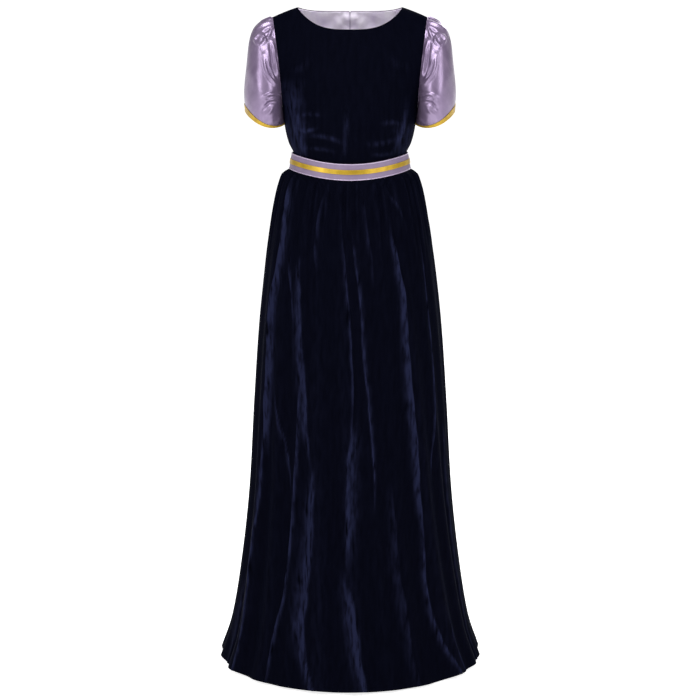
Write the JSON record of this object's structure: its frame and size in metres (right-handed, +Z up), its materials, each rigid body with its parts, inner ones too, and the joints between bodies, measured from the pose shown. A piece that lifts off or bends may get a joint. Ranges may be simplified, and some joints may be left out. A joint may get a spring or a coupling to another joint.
{
  "type": "two-piece dress",
  "caption": "Floor-length two-piece dress, worn and hollow: velvet top with satin puff sleeves, tucked into a gathered velvet skirt on a satin waistband with a gold ribbon stripe",
  "frame": {"origin": "midway between the shoulder seams, on the level where the shoulders of the wearer hold the dress", "axes": "+Z up, +X to the wearer's left, -Y towards the front of the dress"},
  "size_m": [0.5923, 0.5872, 1.4547],
  "materials": {
    "velvet": "midnight-blue pile velvet with a soft bluish sheen",
    "satin": "glossy lilac satin",
    "lining": "lilac satin lining",
    "ribbon": "shiny gold satin ribbon",
    "zip_tape": "matt woven tape",
    "zip_metal": "polished"
  },
  "bodies": {
    "dress": {"top_front": "velvet", "top_back_left": "velvet", "top_back_right": "velvet", "lining_front": "lining", "lining_back_left": "lining", "lining_back_right": "lining", "sleeve_left": "satin", "sleeve_right": "satin", "cuff_ribbon_left": "ribbon", "cuff_ribbon_right": "ribbon", "waistband_front": "satin", "waistband_back_left": "satin", "waistband_back_right": "satin", "band_ribbon_front": "ribbon", "band_ribbon_back_left": "ribbon", "band_ribbon_back_right": "ribbon", "skirt_front": "velvet", "skirt_back_left": "velvet", "skirt_back_right": "velvet", "top_zip_tape": "zip_tape", "top_zip_slider": "zip_metal", "skirt_zip_tape": "zip_tape", "skirt_zip_slider": "zip_metal"},
    "top_pull": {"top_zip_pull": "zip_metal"},
    "skirt_pull": {"skirt_zip_pull": "zip_metal"}
  },
  "joints": [
    {"name": "top_pull_swing", "type": "hinge", "parent": "dress", "child": "top_pull", "pos_m": [0, 0.06287, -0.00467], "axis": [1, 0, 0], "range_deg": [0, 165]},
    {"name": "skirt_pull_swing", "type": "hinge", "parent": "dress", "child": "skirt_pull", "pos_m": [0, 0.10405, -0.30741], "axis": [1, 0, 0], "range_deg": [0, 165]}
  ]
}
